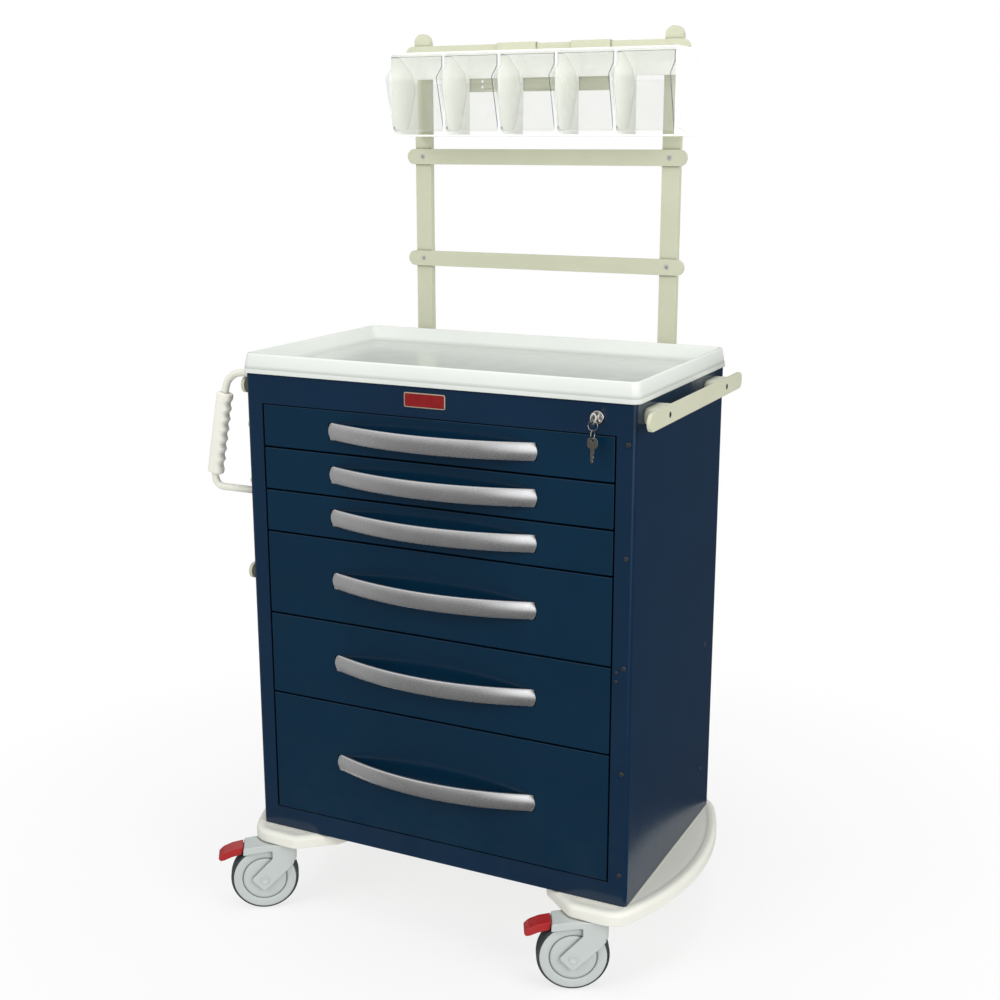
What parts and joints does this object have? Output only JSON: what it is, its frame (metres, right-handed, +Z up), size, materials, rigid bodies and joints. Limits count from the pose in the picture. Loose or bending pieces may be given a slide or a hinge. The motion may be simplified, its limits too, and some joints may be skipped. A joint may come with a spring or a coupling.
{
  "type": "crash cart",
  "caption": "Hospital cart: steel drawer cabinet on swivel casters with a moulded tray top, push handle and a rear bridge carrying rails and clear tilt bins.",
  "frame": {"origin": "on the floor below the centre of the cabinet", "axes": "+X to the right seen from the front, +Y to the back, +Z up"},
  "size_m": [0.9061, 0.5576, 1.594],
  "materials": {
    "cabinet_blue": "gloss powder coat",
    "drawer_blue": "gloss powder coat",
    "satin_aluminium": "satin, brushed along its length",
    "zinc_steel": "zinc plated",
    "white_tray": "moulded, gloss",
    "ivory_base": "moulded, satin",
    "cream_paint": "satin powder coat",
    "cream_plastic": "moulded, satin",
    "ivory_handle": "gloss powder coat",
    "ivory_grip": "soft-touch",
    "white_housing": "moulded, gloss",
    "clear_bin": "clear, polished",
    "screw_steel": "plated",
    "lock_chrome": "polished",
    "key_nickel": "nickel plated",
    "red_plate": "gloss enamel",
    "caster_grey": "moulded, satin",
    "wheel_grey": "moulded hub with a dark rubber tread",
    "pedal_red": "moulded, gloss"
  },
  "bodies": {
    "cabinet": {"cabinet_shell": "cabinet_blue", "back_panel": "cabinet_blue", "inner_brackets": "zinc_steel", "slide_outer_members": "zinc_steel", "name_plate": "red_plate", "lock_housing": "lock_chrome", "worktop_tray": "white_tray", "base_skirt": "ivory_base", "base_frame": "zinc_steel", "rear_posts": "cream_paint", "accessory_rails": "cream_paint", "side_rails": "cream_paint", "stand_offs": "cream_plastic", "screws": "screw_steel", "push_handle_tube": "ivory_handle", "push_handle_grip": "ivory_grip", "bin_housing": "white_housing", "bin_hanger": "cream_paint"},
    "drawer_1": {"drawer_1_box": "zinc_steel", "drawer_1_front": "drawer_blue", "drawer_1_pull": "satin_aluminium"},
    "drawer_1_runners": {"drawer_1_slide_middle": "zinc_steel"},
    "drawer_2": {"drawer_2_box": "zinc_steel", "drawer_2_front": "drawer_blue", "drawer_2_pull": "satin_aluminium"},
    "drawer_2_runners": {"drawer_2_slide_middle": "zinc_steel"},
    "drawer_3": {"drawer_3_box": "zinc_steel", "drawer_3_front": "drawer_blue", "drawer_3_pull": "satin_aluminium"},
    "drawer_3_runners": {"drawer_3_slide_middle": "zinc_steel"},
    "drawer_4": {"drawer_4_box": "zinc_steel", "drawer_4_front": "drawer_blue", "drawer_4_pull": "satin_aluminium"},
    "drawer_4_runners": {"drawer_4_slide_middle": "zinc_steel"},
    "drawer_5": {"drawer_5_box": "zinc_steel", "drawer_5_front": "drawer_blue", "drawer_5_pull": "satin_aluminium"},
    "drawer_5_runners": {"drawer_5_slide_middle": "zinc_steel"},
    "drawer_6": {"drawer_6_box": "zinc_steel", "drawer_6_front": "drawer_blue", "drawer_6_pull": "satin_aluminium"},
    "drawer_6_runners": {"drawer_6_slide_middle": "zinc_steel"},
    "caster_front_right_swivel": {"caster_front_right_fork": "caster_grey"},
    "caster_front_right_roll": {"caster_front_right_wheel": "wheel_grey"},
    "caster_front_right_brake": {"caster_front_right_pedal": "pedal_red"},
    "caster_front_left_swivel": {"caster_front_left_fork": "caster_grey"},
    "caster_front_left_roll": {"caster_front_left_wheel": "wheel_grey"},
    "caster_front_left_brake": {"caster_front_left_pedal": "pedal_red"},
    "caster_rear_right_swivel": {"caster_rear_right_fork": "caster_grey"},
    "caster_rear_right_roll": {"caster_rear_right_wheel": "wheel_grey"},
    "caster_rear_left_swivel": {"caster_rear_left_fork": "caster_grey"},
    "caster_rear_left_roll": {"caster_rear_left_wheel": "wheel_grey"},
    "lock_plug": {"lock_plug": "lock_chrome"},
    "lock_bar": {"lock_bar": "zinc_steel"},
    "key_ring": {"key_ring": "key_nickel"},
    "tilt_bin_1": {"tilt_bin_1": "clear_bin"},
    "tilt_bin_2": {"tilt_bin_2": "clear_bin"},
    "tilt_bin_3": {"tilt_bin_3": "clear_bin"},
    "tilt_bin_4": {"tilt_bin_4": "clear_bin"},
    "tilt_bin_5": {"tilt_bin_5": "clear_bin"}
  },
  "joints": [
    {"name": "drawer_1_open", "type": "slide", "parent": "cabinet", "child": "drawer_1", "axis": [0, -1, 0], "range_m": [0, 0.38]},
    {"name": "drawer_1_runners_open", "type": "slide", "parent": "cabinet", "child": "drawer_1_runners", "axis": [0, -1, 0], "range_m": [0, 0.19]},
    {"name": "drawer_2_open", "type": "slide", "parent": "cabinet", "child": "drawer_2", "axis": [0, -1, 0], "range_m": [0, 0.38]},
    {"name": "drawer_2_runners_open", "type": "slide", "parent": "cabinet", "child": "drawer_2_runners", "axis": [0, -1, 0], "range_m": [0, 0.19]},
    {"name": "drawer_3_open", "type": "slide", "parent": "cabinet", "child": "drawer_3", "axis": [0, -1, 0], "range_m": [0, 0.38]},
    {"name": "drawer_3_runners_open", "type": "slide", "parent": "cabinet", "child": "drawer_3_runners", "axis": [0, -1, 0], "range_m": [0, 0.19]},
    {"name": "drawer_4_open", "type": "slide", "parent": "cabinet", "child": "drawer_4", "axis": [0, -1, 0], "range_m": [0, 0.38]},
    {"name": "drawer_4_runners_open", "type": "slide", "parent": "cabinet", "child": "drawer_4_runners", "axis": [0, -1, 0], "range_m": [0, 0.19]},
    {"name": "drawer_5_open", "type": "slide", "parent": "cabinet", "child": "drawer_5", "axis": [0, -1, 0], "range_m": [0, 0.38]},
    {"name": "drawer_5_runners_open", "type": "slide", "parent": "cabinet", "child": "drawer_5_runners", "axis": [0, -1, 0], "range_m": [0, 0.19]},
    {"name": "drawer_6_open", "type": "slide", "parent": "cabinet", "child": "drawer_6", "axis": [0, -1, 0], "range_m": [0, 0.38]},
    {"name": "drawer_6_runners_open", "type": "slide", "parent": "cabinet", "child": "drawer_6_runners", "axis": [0, -1, 0], "range_m": [0, 0.19]},
    {"name": "caster_front_right_swivel_turn", "type": "hinge", "parent": "cabinet", "child": "caster_front_right_swivel", "pos_m": [0.314, -0.2225, 0.13], "axis": [0, 0, 1], "continuous": true},
    {"name": "caster_front_right_roll_turn", "type": "hinge", "parent": "caster_front_right_swivel", "child": "caster_front_right_roll", "pos_m": [0.27836, -0.24066, 0.0625], "axis": [0.454, -0.891, 0], "continuous": true},
    {"name": "caster_front_right_brake_press", "type": "hinge", "parent": "caster_front_right_swivel", "child": "caster_front_right_brake", "pos_m": [0.24272, -0.25882, 0.1195], "axis": [0.454, -0.891, 0], "range_deg": [0, 12]},
    {"name": "caster_front_left_swivel_turn", "type": "hinge", "parent": "cabinet", "child": "caster_front_left_swivel", "pos_m": [-0.314, -0.2225, 0.13], "axis": [0, 0, 1], "continuous": true},
    {"name": "caster_front_left_roll_turn", "type": "hinge", "parent": "caster_front_left_swivel", "child": "caster_front_left_roll", "pos_m": [-0.34716, -0.24487, 0.0625], "axis": [0.5592, -0.829, 0], "continuous": true},
    {"name": "caster_front_left_brake_press", "type": "hinge", "parent": "caster_front_left_swivel", "child": "caster_front_left_brake", "pos_m": [-0.38032, -0.26724, 0.1195], "axis": [0.5592, -0.829, 0], "range_deg": [0, 12]},
    {"name": "caster_rear_right_swivel_turn", "type": "hinge", "parent": "cabinet", "child": "caster_rear_right_swivel", "pos_m": [0.314, 0.2225, 0.13], "axis": [0, 0, 1], "continuous": true},
    {"name": "caster_rear_right_roll_turn", "type": "hinge", "parent": "caster_rear_right_swivel", "child": "caster_rear_right_roll", "pos_m": [0.27746, 0.20623, 0.0625], "axis": [0.4067, -0.9135, 0], "continuous": true},
    {"name": "caster_rear_left_swivel_turn", "type": "hinge", "parent": "cabinet", "child": "caster_rear_left_swivel", "pos_m": [-0.314, 0.2225, 0.13], "axis": [0, 0, 1], "continuous": true},
    {"name": "caster_rear_left_roll_turn", "type": "hinge", "parent": "caster_rear_left_swivel", "child": "caster_rear_left_roll", "pos_m": [-0.34552, 0.19787, 0.0625], "axis": [0.6157, -0.788, 0], "continuous": true},
    {"name": "lock_turn", "type": "hinge", "parent": "cabinet", "child": "lock_plug", "pos_m": [0.299, -0.205, 0.983], "axis": [0, 1, 0], "range_deg": [0, 90]},
    {"name": "lock_bar_drop", "type": "slide", "parent": "cabinet", "child": "lock_bar", "axis": [0, 0, -1], "range_m": [0, 0.012], "stiffness_N_per_m": 100, "springref_m": -0.03},
    {"name": "key_ring_hang", "type": "hinge", "parent": "lock_plug", "child": "key_ring", "pos_m": [0.299, -0.238, 0.974], "axis": [0, 1, 0], "range_deg": [-90, 0]},
    {"name": "tilt_bin_1_tilt", "type": "hinge", "parent": "cabinet", "child": "tilt_bin_1", "pos_m": [-0.2014, 0.128, 1.422], "axis": [1, 0, 0], "range_deg": [0, 45]},
    {"name": "tilt_bin_2_tilt", "type": "hinge", "parent": "cabinet", "child": "tilt_bin_2", "pos_m": [-0.0912, 0.128, 1.422], "axis": [1, 0, 0], "range_deg": [0, 45]},
    {"name": "tilt_bin_3_tilt", "type": "hinge", "parent": "cabinet", "child": "tilt_bin_3", "pos_m": [0.019, 0.128, 1.422], "axis": [1, 0, 0], "range_deg": [0, 45]},
    {"name": "tilt_bin_4_tilt", "type": "hinge", "parent": "cabinet", "child": "tilt_bin_4", "pos_m": [0.1292, 0.128, 1.422], "axis": [1, 0, 0], "range_deg": [0, 45]},
    {"name": "tilt_bin_5_tilt", "type": "hinge", "parent": "cabinet", "child": "tilt_bin_5", "pos_m": [0.2394, 0.128, 1.422], "axis": [1, 0, 0], "range_deg": [0, 45]}
  ],
  "couplings": [
    {"joint": "drawer_1_runners_open", "follows": "drawer_1_open", "ratio": 0.5},
    {"joint": "drawer_2_runners_open", "follows": "drawer_2_open", "ratio": 0.5},
    {"joint": "drawer_3_runners_open", "follows": "drawer_3_open", "ratio": 0.5},
    {"joint": "drawer_4_runners_open", "follows": "drawer_4_open", "ratio": 0.5},
    {"joint": "drawer_5_runners_open", "follows": "drawer_5_open", "ratio": 0.5},
    {"joint": "drawer_6_runners_open", "follows": "drawer_6_open", "ratio": 0.5},
    {"joint": "lock_turn", "follows": "lock_bar_drop", "rad_per_m": 130.89},
    {"joint": "key_ring_hang", "follows": "lock_bar_drop", "rad_per_m": -130.89}
  ]
}
